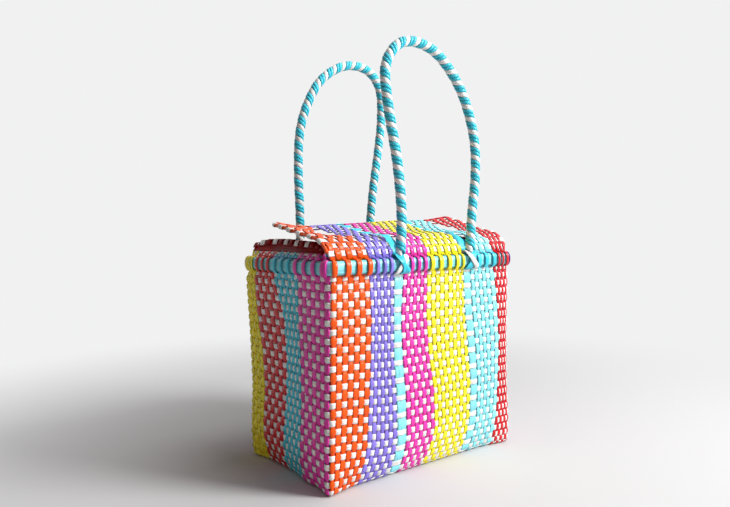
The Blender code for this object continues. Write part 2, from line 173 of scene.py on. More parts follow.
# Lines along each strip: noise scale along it, across it and from strip to strip, and the tone they give: darker
# lines that are the strips' own, and lighter streaks that are painted highlight along their ridges
LINE_SCALE = (60, 1100, 57)
LINE_NOISE, LINE_AND_HIGHLIGHT_TONE = (0.3, 0.7), (0.7, 1.15)
STRIP_TONE = (0.9, 1.08)
RIDGE_STRENGTH, RIDGE_HEIGHT = 0.9, 0.25 * MM
CORE_ROUGHNESS, CORE_GRAIN = 0.6, 900
# Painted shade: the handle cores are a dark teal, which stands for the shade in the gaps between the wrap bands and
# at the feet
CORE_SHADE_COLOURS = (srgb(20, 70, 84), srgb(60, 130, 148))


def feed(tree, node, inputs):
    """Sets each input of a node to a constant, or links it from a socket or a node's first output."""
    for key, value in inputs.items():
        if isinstance(value, bpy.types.Node):
            value = value.outputs[0]
        if isinstance(value, bpy.types.NodeSocket):
            tree.links.new(value, node.inputs[key])
        else:
            node.inputs[key].default_value = value
    return node


def add_node(tree, kind, inputs, operation=None):
    node = tree.nodes.new("ShaderNode" + kind)
    if operation:
        node.operation = operation
    return feed(tree, node, inputs)


def new_material(name):
    material = bpy.data.materials.new(name)
    material.use_nodes = True
    return material, material.node_tree, material.node_tree.nodes["Principled BSDF"]


def strip_material(name, colour):
    """Glossy plastic: fine ridges and streaks run along each strip, and the strips differ a little. The streaks in
    the colour are partly the strips' own lines and partly painted highlight.
    """
    material, tree, shader = new_material(name + "_plastic")
    attribute = add_node(tree, "Attribute", {})
    attribute.attribute_name = "strip_place"
    place = attribute.outputs["Vector"]
    stretch = add_node(tree, "Mapping", {"Vector": place, "Scale": LINE_SCALE})
    lines = add_node(tree, "TexNoise", {"Vector": stretch, "Scale": 1.0, "Detail": 2.0})
    # Partly painted highlight: the noise darkens the colour along the strips' own lines and lightens it in streaks
    # that stand for glints on the ridges
    tone = add_node(tree, "MapRange", {
        "Value": lines, "From Min": LINE_NOISE[0], "From Max": LINE_NOISE[1],
        "To Min": LINE_AND_HIGHLIGHT_TONE[0], "To Max": LINE_AND_HIGHLIGHT_TONE[1],
    })
    number = add_node(tree, "SeparateXYZ", {"Vector": place}).outputs["Z"]
    own = add_node(tree, "MapRange", {"Value": number, "To Min": STRIP_TONE[0], "To Max": STRIP_TONE[1]})
    both = add_node(tree, "Math", {0: tone, 1: own}, "MULTIPLY")
    tint = add_node(tree, "VectorMath", {0: colour[:3], "Scale": both}, "SCALE")
    ridges = add_node(tree, "Bump", {"Strength": RIDGE_STRENGTH, "Distance": RIDGE_HEIGHT, "Height": lines})
    feed(tree, shader, {
        "Base Color": tint, "Roughness": PLASTIC_ROUGHNESS, "Normal": ridges,
        "Specular IOR Level": DARK_GLOSS if name == "shade_darkened_red" else PLASTIC_GLOSS,
    })
    return material


MATERIALS = {name: strip_material(name, srgb(*colour)) for name, colour in COLOURS.items()}


def smooth(share):
    share = np.clip(share, 0, 1)
    return share * share * (3 - 2 * share)


# Surfaces. Each takes arrays and gives points with the shape (..., 3)

def plan(u, out):
    """Point of the plan's outline at a place u round it, moved out from the wall's outer face."""
    u = np.mod(u + FLAT_X, PERIMETER)
    x, y = np.zeros_like(u), np.zeros_like(u)
    start = 0.0
    for turn in range(4):
        angle = turn * math.pi / 2
        corner_x, corner_y = FLAT_X if turn in (0, 1) else -FLAT_X, FLAT_Y if turn in (1, 2) else -FLAT_Y
        length = 2 * (FLAT_X if turn % 2 == 0 else FLAT_Y)
        here = (u >= start) & (u <= start + length + ARC)
        before = np.clip(start + length - u, 0, None)
        bend = angle - math.pi / 2 + np.clip((u - start - length) / PLAN_RADIUS, 0, math.pi / 2)
        x = np.where(here, corner_x + (PLAN_RADIUS + out) * np.cos(bend) - before * math.cos(angle), x)
        y = np.where(here, corner_y + (PLAN_RADIUS + out) * np.sin(bend) - before * math.sin(angle), y)
        start += length + ARC
    return x, y


def twist_shift(x, y, z):
    near = np.clip(-y / HALF_Y, 0, 1)
    return TWIST * near * (z - TWIST_LEVEL) / TWIST_LEVEL * (HALF_X - x) / (2 * HALF_X)


def swell(x, y, z):
    """Shift of the right end to the right, and of the far left corner outward, as (x, y)."""
    right = np.interp(z / MM, SWELL_HEIGHTS, RIGHT_SWELL) * MM
    right = right * smooth((x - SWELL_FROM) / (HALF_X - SWELL_FROM))
    far = np.interp(z / MM, SWELL_HEIGHTS, FAR_SWELL) * MM * np.clip(y / HALF_Y, 0, 1)
    return right - far * np.clip(-x / HALF_X, 0, 1), far


def tuck_share(z):
    return np.maximum(0, 1 - z / TUCK_HEIGHT) ** TUCK_POWER


def settle(x, y, z):
    """The tuck near the ground, the twist of the left side and the bulging corners."""
    share = tuck_share(z)
    pull_x = TUCK_CORNER + (TUCK_SIDE - TUCK_CORNER) * smooth((HALF_Y - abs(y)) / TUCK_REACH)
    pull_x *= 1 - SAG * np.exp(-((y - SAG_Y) / SAG_WIDTH) ** 2) * (x < 0)
    pull_y = TUCK_CORNER + (TUCK_FRONT - TUCK_CORNER) * smooth((HALF_X - abs(x)) / TUCK_REACH)
    x, y = x * (1 - share * pull_x / HALF_X), y * (1 - share * pull_y / HALF_Y)
    shift_x, shift_y = swell(x, y, z)
    return np.stack((x + twist_shift(x, y, z) + shift_x, y + shift_y, z), axis=-1)


def wall(v, u, out):
    """A wall's point: v is the height, running on round the lower edge; u the place round the plan."""
    bend = np.clip((BASE_RADIUS - v) / BASE_RADIUS, 0, math.pi / 2)
    radius = BASE_RADIUS + out
    x, y = plan(u, radius * np.cos(bend) - BASE_RADIUS)
    z = np.where(v > BASE_RADIUS, v, BASE_RADIUS - radius * np.sin(bend))
    return settle(x, y, z)


class Run:
    """Down one wall, under the base and up the opposite one, as a surface of (place across, way along, out)."""

    def __init__(self, near, far, half):
        """near and far give the place round the plan from the place across."""
        self.near, self.far = near, far
        self.base_start = V_TOP - V_FOOT
        self.base_length = 2 * (half - BASE_RADIUS)
        self.base_end = self.base_start + self.base_length
        self.length = self.base_end + self.base_start

    def base_corners(self, across):
        """Where a strip meets the flat of the base, near and far."""
        return plan(self.near(across), -BASE_RADIUS), plan(self.far(across), -BASE_RADIUS)

    def surface(self, across, along, out):
        near = wall(V_TOP - along, self.near(across), out)
        far = wall(V_FOOT + along - self.base_end, self.far(across), out)
        (x0, y0), (x1, y1) = self.base_corners(across)
        share = (along - self.base_start) / self.base_length
        base = settle(x0 + (x1 - x0) * share, y0 + (y1 - y0) * share, -out)
        on_near, on_far = (along < self.base_start)[..., None], (along > self.base_end)[..., None]
        return np.where(on_near, near, np.where(on_far, far, base))


FRONT_RUN = Run(lambda across: across, lambda across: BACK_MIDDLE - across, HALF_Y)
SIDE_RUN = Run(lambda across: -RIGHT_MIDDLE - across, lambda across: RIGHT_MIDDLE + across, HALF_X)


# Places of the warps

def row_height(row, u):
    """Height of a weft's centre line. The rows slope a little from the near left corner to the left strap."""
    halves = np.arange(len(STRAP_ROWS)) * 2
    strap, corner = (np.interp(row, halves, rows) * MM for rows in (STRAP_ROWS, CORNER_ROWS))
    corners = (-FAR_RIGHT, -NEAR_RIGHT, CORNER_ROWS_END, FAR_RIGHT, PERIMETER - FAR_RIGHT)
    weight = smooth(np.interp(np.mod(u + FAR_RIGHT, PERIMETER) - FAR_RIGHT, corners, (1, 1, 0, 0, 1)))
    return strap + (corner - strap) * weight


LEVELS = np.linspace(-4 * MM, 280 * MM, 72)


def boundaries(edges, end, places):
    """Lines where columns meet, from end to end of a wall, read at the given heights or ways."""
    known = sorted(edges)
    table = np.array([(-end, *edges[place], end) for place in known]).T * MM
    return [np.interp(places, np.array(known) * MM, line) for line in table]


def column_edges(columns, bounds, crowding=0.0):
    """Both edges of each warp between its column's bounds: an array of (warp, edge, place)."""
    warps = []
    for (name, count), low, high in zip(columns, bounds, bounds[1:]):
        pitches = CROWDED if count == len(CROWDED) else np.ones(count)
        parts = [1 + (pitch - 1) * crowding + 0 * low for pitch in pitches]
        places = np.vstack([0 * low, np.cumsum(parts, axis=0)]) / np.sum(parts, axis=0)
        cuts = low + (high - low) * places
        warps += [cuts[k:k + 2] for k in range(count)]
    return np.array(warps)


def untwisted(line):
    """A place measured on the front wall, before the twist and the tuck move it."""
    return (line - twist_shift(line, -HALF_Y, LEVELS)) / (1 - tuck_share(LEVELS) * TUCK_CORNER / HALF_X)


CROWDING = smooth((LEVELS - CROWD_LOW) / (CROWD_HIGH - CROWD_LOW))
FRONT_LINES = boundaries(FRONT_EDGES, FRONT_END, LEVELS)
FRONT_LINES[1:-1] = [untwisted(line) for line in FRONT_LINES[1:-1]]
FRONT_WARPS = column_edges(FRONT_COLUMNS, FRONT_LINES, CROWDING)
BACK_WARPS = column_edges(FRONT_COLUMNS, boundaries(BACK_EDGES, FRONT_END, LEVELS), CROWDING)
LEFT_WARPS = column_edges(SIDE_COLUMNS, boundaries(LEFT_EDGES, SIDE_END, LEVELS))
RIGHT_WARPS = column_edges(SIDE_COLUMNS, boundaries(RIGHT_EDGES, SIDE_END, LEVELS))


def read(line, v):
    return np.interp(v, LEVELS, line)


def centre(warp, v):
    return read(warp.mean(axis=0), v)


def warp_place(index, v):
    """Place round the plan of a warp's centre, counted from the near left corner: front, right, back, left."""
    if index < FRONT_COUNT:
        return FRONT_RUN.near(centre(FRONT_WARPS[index], v))
    if index < FRONT_COUNT + SIDE_COUNT:
        return SIDE_RUN.far(centre(RIGHT_WARPS[index - FRONT_COUNT], v))
    if index < FAR_LEFT:
        return FRONT_RUN.far(centre(BACK_WARPS[FAR_LEFT - 1 - index], v))
    return SIDE_RUN.near(centre(LEFT_WARPS[AROUND - 1 - index], v)) + PERIMETER


def crossing(index, row):
    """Where a warp and a weft cross, as (u, v)."""
    v = row_height(row, np.array(0.0))
    for attempt in range(SOLVE_ROUNDS):
        u = warp_place(index, v)
        v = row_height(row, u)
    return u, v


CROSSINGS = np.array([[crossing(index, row) for row in range(ROWS)] for index in range(AROUND)])


def lies_over(index, row):
    """Whether the weft lies over the warp, seen from outside."""
    return (index + row) % 2 == 0


def numbered(columns):
    """Each column's name and the numbers of its warps."""
    first = 0
    for name, count in columns:
        yield name, range(first, first + count)
        first += count


# Lines

def at(way, run, points):
    """Each coordinate of a line's points, read at the ways along it."""
    return [np.interp(way, run, column) for column in points.T]


def distances(points):
    """Distance run along a line at each of its points."""
    return np.concatenate(([0], np.cumsum(np.linalg.norm(np.diff(points, axis=0), axis=1))))


def headings(points):
    """Unit vector along a line at each of its points."""
    ahead = np.gradient(points, axis=0)
    return ahead / np.linalg.norm(ahead, axis=1)[:, None]


def curve_through(points, count, finer=8):
    """Evenly spaced points on a smooth curve through the given ones."""
    points = np.array(points, float)
    control = np.vstack((2 * points[0] - points[1], points, 2 * points[-1] - points[-2]))
    place = np.linspace(0, len(points) - 1, count * finer)
    k = np.minimum(place.astype(int), len(points) - 2)
    t = (place - k)[:, None]
    p0, p1, p2, p3 = (control[k + n] for n in range(4))
    line = 0.5 * (2 * p1 + (p2 - p0) * t + (2 * p0 - 5 * p1 + 4 * p2 - p3) * t ** 2
                  + (3 * p1 - p0 - 3 * p2 + p3) * t ** 3)
    run = distances(line)
    return np.stack(at(np.linspace(0, run[-1], count), run, line), axis=-1)


# Ribbons

# Section of a strip, corner by corner: share of the half width, and share of the half thickness
SIDES = np.array((-1, -0.66, 0.66, 1, 0.66, -0.66))
THICKS = np.array((0, 1, 1, 0, -1, -1))


class Mesh:
    """Ribbons collected into one mesh, with each point's place on its strip as an attribute."""

    def __init__(self):
        self.points, self.quads, self.caps, self.places = [], [], [], []
        self.count = 0

    def add(self, rings, run, width, closed=False):
        """rings is an array of (ring, corner, 3). run and width are the way along and the width at each ring."""
        number, sides = rings.shape[:2]
        index = self.count + np.arange(number * sides).reshape(number, sides)
        following = np.roll(index, -1, axis=0) if closed else index[1:]
        rows = index if closed else index[:-1]
        quads = np.stack((rows, np.roll(rows, -1, axis=1), np.roll(following, -1, axis=1), following), axis=-1)
        quads = quads.reshape(-1, 4)
        caps = [] if closed else [index[0][::-1], index[-1]]
        step = (rings[1:] - rings[:-1]).mean(axis=1)
        across = np.cross(rings[:-1, 1] - rings[:-1, 0], rings[:-1, 2] - rings[:-1, 0])
        if (step * across).sum() < 0:
            quads, caps = quads[:, ::-1], [cap[::-1] for cap in caps]
        along = run[:, None] + 0 * SIDES
        places = np.stack((along, SIDES * width[:, None] / 2, 0 * along + random.random()), axis=-1)
        self.points.append(rings.reshape(-1, 3))
        self.quads.append(quads)
        self.caps += caps
        self.places.append(places.reshape(-1, 3))
        self.count += number * sides

    def make(self, name, colour, node=None, body="bag"):
        """Makes the piece, on a body and maybe for a CAD node."""
        mesh = bpy.data.meshes.new(name)
        mesh.from_pydata(np.concatenate(self.points), [], np.concatenate(self.quads).tolist() + self.caps)
        mesh.shade_smooth()
        place = mesh.attributes.new("strip_place", "FLOAT_VECTOR", "POINT")
        place.data.foreach_set("vector", np.concatenate(self.places).astype(np.float32).ravel())
        mesh.materials.append(MATERIALS[colour])
        obj = add_object(name, mesh)
        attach(obj, body)
        if node:
            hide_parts(node)


def ribbon(mesh, surface, across, along, out, width, thickness=STRIP_THICKNESS, closed=False):
    """A strip whose centre line goes along and out of a surface."""
    along, out = np.asarray(along, float), np.asarray(out, float)
    across, width = along * 0 + across, along * 0 + width
    if closed:
        d_along = np.roll(along, -1) - np.roll(along, 1)
        d_along[0], d_along[-1] = d_along[1], d_along[-2]
        d_out = np.roll(out, -1) - np.roll(out, 1)
    else:
        d_along, d_out = np.gradient(along), np.gradient(out)
    length = np.hypot(d_along, d_out)
    ahead, rise = d_along / length, d_out / length
    thick = THICKS * thickness / 2
    rings = surface(
        across[:, None] + SIDES * width[:, None] / 2,
        along[:, None] - rise[:, None] * thick,
        out[:, None] + ahead[:, None] * thick,
    )
    mesh.add(rings, distances(rings.mean(axis=1)), width, closed)


def space_ribbon(mesh, points, facing, width):
    """A strip along points in space. facing points roughly outward, one vector for each point."""
    ahead = headings(points)
    across = np.cross(ahead, facing)
    across /= np.linalg.norm(across, axis=1)[:, None]
    normal = np.cross(across, ahead)
    thick = THICKS * STRIP_THICKNESS / 2
    rings = (points[:, None] + across[:, None] * (SIDES[:, None] * width[:, None, None] / 2)
             + normal[:, None] * thick[:, None])
    mesh.add(rings, distances(points), width)


def turned(surface):
    """The same surface for a strip that runs across it."""
    return lambda across, along, out: surface(along, across, out)


def wave_stations(marks, first_over, short=0):
    """Stations between a strip's crossings, the marks, and its height at each as a share of the swing."""
    last = len(marks) - 1
    phase = np.linspace(short, last - short, last * STEPS + (0 if short else 1))
    return np.interp(phase, np.arange(last + 1), marks), (1 if first_over else -1) * np.cos(math.pi * phase)


def warp_width(pitch, height, between, gain, narrow_gain, narrow_pitch, fade):
    """Width of a warp: it spreads where it lies over or under a weft, most where the pitch is narrow."""
    return pitch * (between + (gain + narrow_gain * smooth((narrow_pitch - pitch) / fade)) * height ** 2)


# Body

def weave_run(mesh, run, near_edges, far_edges, marks, first_over):
    """One warp down a wall, under the base and up the other wall. marks are its crossings' ways along."""
    along, height = wave_stations(marks, first_over)
    along = np.concatenate(([0.0], along, [run.length]))
    height = np.concatenate(([0.0], height, [0.0]))
    share = smooth((along - run.base_start) / run.base_length)
    near = [read(edge, V_TOP - along) for edge in near_edges]
    far = [read(edge, V_FOOT + along - run.base_end) for edge in far_edges]
    low, high = [a + (b - a) * share for a, b in zip(near, far)]
    width = np.minimum(warp_width(high - low, height, *WALL_WARP_WIDTHS), WARP_MAX_WIDTH)
    ribbon(mesh, run.surface, (low + high) / 2, along, WEAVE_MIDDLE + SWING * height, width)


def base_crossings():
    """Ways along of each base crossing, for the front warps and for the side warps."""
    low, high, left, right = (np.array([centre(warp, 0) for warp in warps])
                              for warps in (FRONT_WARPS, BACK_WARPS, LEFT_WARPS, RIGHT_WARPS))
    low, high = low[:, None], high[:, None]
    front_share = side_share = np.full((FRONT_COUNT, SIDE_COUNT), 0.5)
    for attempt in range(SOLVE_ROUNDS):
        (x0, y0), (x1, y1) = FRONT_RUN.base_corners(low + (high - low) * smooth(front_share))
        (p0, q0), (p1, q1) = SIDE_RUN.base_corners(left + (right - left) * smooth(side_share))
        front_share, side_share = (q0 - y0) / (y1 - y0), (x0 - p0) / (p1 - p0)
    return (FRONT_RUN.base_start + FRONT_RUN.base_length * front_share,
            (SIDE_RUN.base_start + SIDE_RUN.base_length * side_share).T)


def weave_columns(columns, run, near_warps, far_warps, base_ways, near_first, far_first, sign):
    """Each column's mesh. Its warps count round the plan from near_first on one wall, far_first on the other."""
    for name, numbers in numbered(columns):
        mesh = Mesh()
        for i in numbers:
            near, far = near_first + sign * i, far_first - sign * i
            down, up = V_TOP - CROSSINGS[near, :, 1], run.base_end + (CROSSINGS[far, ::-1, 1] - V_FOOT)
            marks = np.concatenate((down, base_ways[i], up))
            weave_run(mesh, run, near_warps[i], far_warps[i], marks, not lies_over(near, 0))
        yield name, mesh


def weave_warps():
    front_ways, side_ways = base_crossings()
    front = (FRONT_COLUMNS, FRONT_RUN, FRONT_WARPS, BACK_WARPS, front_ways, 0, FAR_LEFT - 1, 1)
    for name, mesh in weave_columns(*front):
        if "strap" in name:
            mesh.make(name, "pale_turquoise", name.replace("strap", "carrying_strap"))
        else:
            mesh.make(name + "_warps", "pale_turquoise" if name == "turquoise" else name, "woven_body")
    side = (SIDE_COLUMNS, SIDE_RUN, LEFT_WARPS, RIGHT_WARPS, side_ways, AROUND - 1, FRONT_COUNT, -1)
    for name, mesh in weave_columns(*side):
        mesh.make(name + "_side_warps", name, "woven_body")


def weave_weft(mesh, row, first, last):
    """One weft from a crossing to a later one. It ends just short of both, hidden under the warps there."""
    marks = [CROSSINGS[index % AROUND, row, 0] + index // AROUND * PERIMETER for index in range(first, last + 1)]
    along, height = wave_stations(marks, lies_over(first, row), WEFT_END)
    width = WEFT_WIDTH * (1 - WEFT_WAIST + WEFT_WAIST * height ** 2)
    ribbon(mesh, wall, row_height(row, along), along, WEAVE_MIDDLE + SWING * height, width)


def weave_wefts():
    """Level strips round the bag: white ones, and yellow ones across the yellow warps of the left wall."""
    yellow = Mesh()
    for part, rows in (("upper", range(0, UPPER_ROWS)), ("lower", range(UPPER_ROWS, ROWS))):
        white = Mesh()
        for row in rows:
            start, stop = (index + lies_over(index, row) for index in YELLOW_WEFTS)
            weave_weft(yellow, row, start, stop)
            weave_weft(white, row, stop, start + AROUND)
        white.make("white_wefts_" + part, "white", "woven_body")
    yellow.make("yellow_wefts", "yellow", "woven_body")


# Rim

# A wrap from inside the wall over the bundle: out from the wall's outer face, and height, in mm
RIM_ROUTE = (
    (-4.6, 262), (-5.2, 268), (-4.6, 272.6), (-2.4, 274.4), (1.0, 275.0), (4.0, 274.2), (6.0, 270.6),
    (6.7, 265.5), (6.2, 260.6), (4.4, 257.2), (2.2, 255.6), (0.5, 256.0),
)
RIM_STATIONS = 22
BUNDLE_OUT, BUNDLE_THICKNESS = 2.3 * MM, 4.2 * MM
BUNDLE_HEIGHT, BUNDLE_WIDTH = 265.8 * MM, 16.6 * MM
BUNDLE_STATIONS = 240
BUNDLE_WANDER, WANDER_RATE = 0.25 * MM, 31
WRAP_MAX_WIDTH = 7.8 * MM
WRAP_LEAN_MM = 0.6
# Wraps round the far left corner are closer together, and one sits round the near left corner
CLOSE_WRAPS, CLOSE_SHARE = range(FAR_LEFT, FAR_LEFT + 4), 0.8
CORNER_WRAP, CORNER_SHIFT = 3.6 * MM, -1.5 * MM


def rim_surface(u, out, height):
    """Round the rim: place round the plan, out from the wall's outer face, height."""
    x, y = plan(u, out)
    return settle(x, y, height)


def wrap_rim():
    """A broad level strip outside the wall, tied to it by every second warp."""
    mesh = Mesh()
    around = np.linspace(0, PERIMETER, BUNDLE_STATIONS + 1)[:-1]
    wander = BUNDLE_WANDER * np.sin(around * WANDER_RATE)
    ribbon(mesh, lambda height, u, out: rim_surface(u, out, height), BUNDLE_HEIGHT + wander, around,
           BUNDLE_OUT + wander, BUNDLE_WIDTH, BUNDLE_THICKNESS, closed=True)
    mesh.make("rim_bundle", "pale_turquoise", "rim_core")

    route = curve_through(RIM_ROUTE, RIM_STATIONS) * MM
    wraps = {}
    for index in (*range(0, FAR_LEFT + 3, 2), *range(FAR_LEFT + 1, AROUND, 2)):
        colour = NAMES_AROUND[index]
        if "strap" in colour:
            continue
        place = warp_place(index, RIM_TOP) + (0 if index else CORNER_SHIFT)
        width = abs(warp_place(index + 1, RIM_TOP) - warp_place(index - 1, RIM_TOP)) / 2 if index else CORNER_WRAP
        width *= CLOSE_SHARE if index in CLOSE_WRAPS else 1
        shift = random.uniform(-WRAP_LEAN_MM, WRAP_LEAN_MM) * MM * np.linspace(-1, 1, len(route))
        mesh = wraps.setdefault(colour, Mesh())
        ribbon(mesh, rim_surface, place + shift, route[:, 0], route[:, 1], min(width, WRAP_MAX_WIDTH))
    for colour, mesh in wraps.items():
        mesh.make(colour + "_rim_wraps", colour, "rim_wrap")


# Handles

# Centre lines from the left foot to the right one: place across, and way up from the foot, in mm
FRONT_HANDLE_LINE = (
    (-45, 0), (-42, 50), (-47, 111), (-59, 178), (-61, 224), (-40, 253), (-7, 260), (31, 247), (68, 207),
    (89, 152), (91, 100), (83, 48), (77, 0),
)
BACK_HANDLE_LINE = (
    (-70, 0), (-72, 50), (-76, 112), (-75, 162), (-64, 203), (-40, 242), (0, 266), (41, 265), (66, 240),
    (71, 195), (67, 145), (59, 80), (54, 0),
)
HANDLE_STATIONS = 400
FOOT_Y, FOOT_Z = 97 * MM, 283.5 * MM
FRONT_LEAN, BACK_LEAN = math.radians(-1.5), math.radians(4.0)
HANDLE_RADIUS, HANDLE_STRIP = 5.7 * MM, 1.7 * MM
WHITE_INSET = 0.35 * MM
HANDLE_PITCH, TURN_STEPS = 17.5 * MM, 16
# Bands in each turn of the wrap, by colour: middle and width as shares of the pitch
HANDLE_BANDS = {"white": ((0.22, 0.44),), "turquoise": ((0.58, 0.28), (0.86, 0.28))}
BAND_FILL = 0.99
# The wrap runs on past each foot over a dome: its height, the share of it run, and where it stops narrowing
DOME, DOME_REACH, DOME_LIMIT = 5 * MM, 0.9, 0.95


def handle_surface(line, y, lean):
    """Round a handle: way along its centre line, turn round it, out from the centre line."""
    points = curve_through(line, HANDLE_STATIONS) * MM
    run, tangents = distances(points), headings(points)

    def surface(way, turn, out):
        (x, z), (tx, tz) = at(way, run, points), at(way, run, tangents)
        beyond = way - np.clip(way, 0, run[-1])
        sideways, across = out * np.sin(turn), out * np.cos(turn)
        x, z = x + tx * beyond + tz * sideways, z + tz * beyond - tx * sideways
        return np.stack((x, y + across * math.cos(lean) - z * math.sin(lean),
                         FOOT_Z + z * math.cos(lean) + across * math.sin(lean)), axis=-1)
    return surface, run[-1]


def wrap_handle(name, line, y, lean):
    surface, length = handle_surface(line, y, lean)
    turns = (length + 2 * DOME_REACH * DOME) / HANDLE_PITCH
    strip_per_turn = math.hypot(2 * math.pi * HANDLE_RADIUS, HANDLE_PITCH)
    for colour, bands in HANDLE_BANDS.items():
        mesh = Mesh()
        for middle, share in bands:
            turn = np.linspace(0, turns, int(turns * TURN_STEPS)) - DOME_REACH * DOME / HANDLE_PITCH - middle
            turn = turn * 2 * math.pi
            way = (turn / (2 * math.pi) + middle) * HANDLE_PITCH
            past = np.clip(np.maximum(-way, way - length) / DOME, 0, DOME_LIMIT)
            radius = (HANDLE_RADIUS - (WHITE_INSET if colour == "white" else 0)) * np.sqrt(1 - past ** 2)
            width = share * HANDLE_PITCH * BAND_FILL + 0 * way
            rings = surface(way[:, None] + SIDES * width[:, None] / 2, turn[:, None] + 0 * SIDES,
                            radius[:, None] + THICKS * HANDLE_STRIP / 2)
            mesh.add(rings, turn / (2 * math.pi) * strip_per_turn, width)
        node = name + "_wrap" if colour == "turquoise" else None
        mesh.make(name + "_" + colour + "_wrap", colour, node, name)


def dress_cores():
    material, tree, shader = new_material("core_cord")
    grain = add_node(tree, "TexNoise", {"Scale": CORE_GRAIN})
    ramp = add_node(tree, "ValToRGB", {"Fac": grain})
    # The grain runs between two dark teals, painted shade where the core shows between the wrap bands
    for element, colour in zip(ramp.color_ramp.elements, CORE_SHADE_COLOURS):
        element.color = colour
    feed(tree, shader, {"Base Color": ramp, "Roughness": CORE_ROUGHNESS})
    for name in ("front_handle_core", "back_handle_core"):
        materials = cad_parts[name].data.materials
        materials.clear()
        materials.append(material)


# Knots: strips that cross over the rim under each handle foot

# A strip's route from inside the rim, over its top and down the band, in mm: shares of its first and its last place
# across, way out, 1 where that counts from the band, height, and 1 where a strip over the others is raised
KNOT_ROUTE = np.array((
    (1, 0, -5.6, 0, 264, 0), (1, 0, -6.4, 0, 271, 0), (1, 0, -4.2, 0, 277.2, 0), (0.9, 0, 1.0, 0, 278.2, 1),
    (0.8, 0, 6.0, 0, 275.5, 0), (0.35, 0, 0.6, 1, 270, 0), (0, 0.1, 0.9, 1, 265.5, 0), (0, 0.6, 0.6, 1, 261, 0),
    (0, 0.95, -1.2, 1, 257, 0), (0, 1, 2.4, 0, 254.8, 0), (0, 1, 0.2, 0, 255.2, 0),
))
KNOT_STATIONS = 26
BAND_OUT, OVER_OUT = 7.0, 8.6
# Strips by colour: place across at the start, at the end, and width at both, in mm
KNOT_STRIPS = {
    "turquoise": ((-9.0, 0.5, 5.4, 5.0), (-4.4, 4.9, 5.4, 5.0), (0.2, 9.3, 5.4, 5.0)),
    "white": ((7.0, -8.0, 10.0, 6.5),),
}


def tie_knot(wall_name, side, x, facing):
    """The knot of one handle foot. Left, its turquoise strips lie over the white one. Right, they lie under it."""
    mirror = 1 if side == "left" else -1
    starts, ends, outs, on_band, heights, top = KNOT_ROUTE.T
    place = wall_name + "_" + side
    for colour, strips in KNOT_STRIPS.items():
        band = OVER_OUT if (colour == "turquoise") == (side == "left") else BAND_OUT
        mesh = Mesh()
        for start, end, *widths in strips:
            route = (start * starts + end * ends, outs + band * on_band, heights + (band - BAND_OUT) * top)
            line = curve_through(np.stack(route, axis=-1), KNOT_STATIONS) * MM
            points = np.stack((x * MM + mirror * line[:, 0], facing * (HALF_Y + line[:, 1]), line[:, 2]), axis=-1)
            ahead = np.gradient(line, axis=0)
            normal = np.stack((0 * ahead[:, 0], -facing * ahead[:, 2], ahead[:, 1]), axis=-1)
            space_ribbon(mesh, points, normal, np.linspace(*widths, len(line)) * MM)
        node = place + "_handle_knot" if colour == "turquoise" else None
        mesh.make(place + "_knot_" + colour, colour, node)


def tie_knots():
    for wall_name, facing, line in (("front", -1, FRONT_HANDLE_LINE), ("back", 1, BACK_HANDLE_LINE)):
        tie_knot(wall_name, "left", line[0][0], facing)
        tie_knot(wall_name, "right", line[-1][0], facing)


# Lid

# Its line from the hinge back to the free edge, at the left end: way back and way up, in mm
LID_LINE = (
    (0, 0), (3, 9), (10, 17), (22, 23.5), (40, 27), (65, 31), (93, 37.5), (112, 41.5), (124, 43.5), (130, 44),
)
LID_REACH = LID_LINE[-1][0] * MM
LID_HALF_WIDTH = LID_END * MM
LID_RIGHT_LIFT = 6 * MM
LID_RIGHT_REACH = 0.89
LID_RIGHT_SWELL = 4 * MM
LID_CORNER_RADIUS = 8 * MM
LID_AXIS_Y = -HALF_Y + 2 * MM
LID_AXIS_Z = RIM_TOP + 2.4 * MM
LID_ROWS = 13
LID_WARP_SWING, LID_SWING = 1.6 * MM, 0.4 * MM
LID_WEFT_THICKNESS = 1.0 * MM
# The rows in front are broader
LID_FRONT_ROWS, LID_FRONT_WEFT, LID_BACK_WEFT = 3, 7.2 * MM, 5.2 * MM
# Where the colours meet: one row for each way back, in mm
LID_EDGES = {
    0: (-91.5, -54, -37, 2, 67, 81, 125),
    20: (-97, -54, -37.5, 1, 63, 77, 119),
    60: (-101.5, -55, -39, 0, 59, 73, 113),
    85: (-102, -55.5, -40, 0, 57, 71, 111),
    140: (-97, -56, -41.5, -1, 54, 68, 105),
}
# Long openings: the warps they are left of, their lens shape, and the warps that the wefts skip there
SLOT_COLUMNS = (7, 39)
SLOT_BACK, SLOT_HALF_LENGTH, SLOT_HALF_WIDTH = 91 * MM, 38 * MM, 13 * MM
SLOT_SPREAD = 28 * MM
SLOT_CUT = 0.9 * SLOT_HALF_LENGTH
SLOT_FIRST, SLOT_NEXT = -1, 3
# Notches: how far each reaches to the left and to the right of its strap column's middle
NOTCH_SIDES = {LEFT_STRAP: (9.5 * MM, 10.5 * MM), RIGHT_STRAP: (9.5 * MM, 17.5 * MM)}
NOTCH_END, NOTCH_FADE, NOTCH_SPREAD = 34 * MM, 9 * MM, 16 * MM
# Each strap column runs on through its notch, set back behind the handle's foot: ways, and how far back, in mm
NOTCH_WAYS = (1, 9.5, 20, 34, 44)
NOTCH_SETBACKS = (9, 10, 8, 2.5, 0)
# It fills the notch by the foot, lapping under both sides, and narrows where the notch ends
NOTCH_STARTS = np.linspace(1 * MM, NOTCH_END - 2 * MM, 8)
NOTCH_FILL_WAYS, NOTCH_OVERLAP, NOTCH_NARROW = (15 * MM, 33 * MM), 1 * MM, 15 * MM
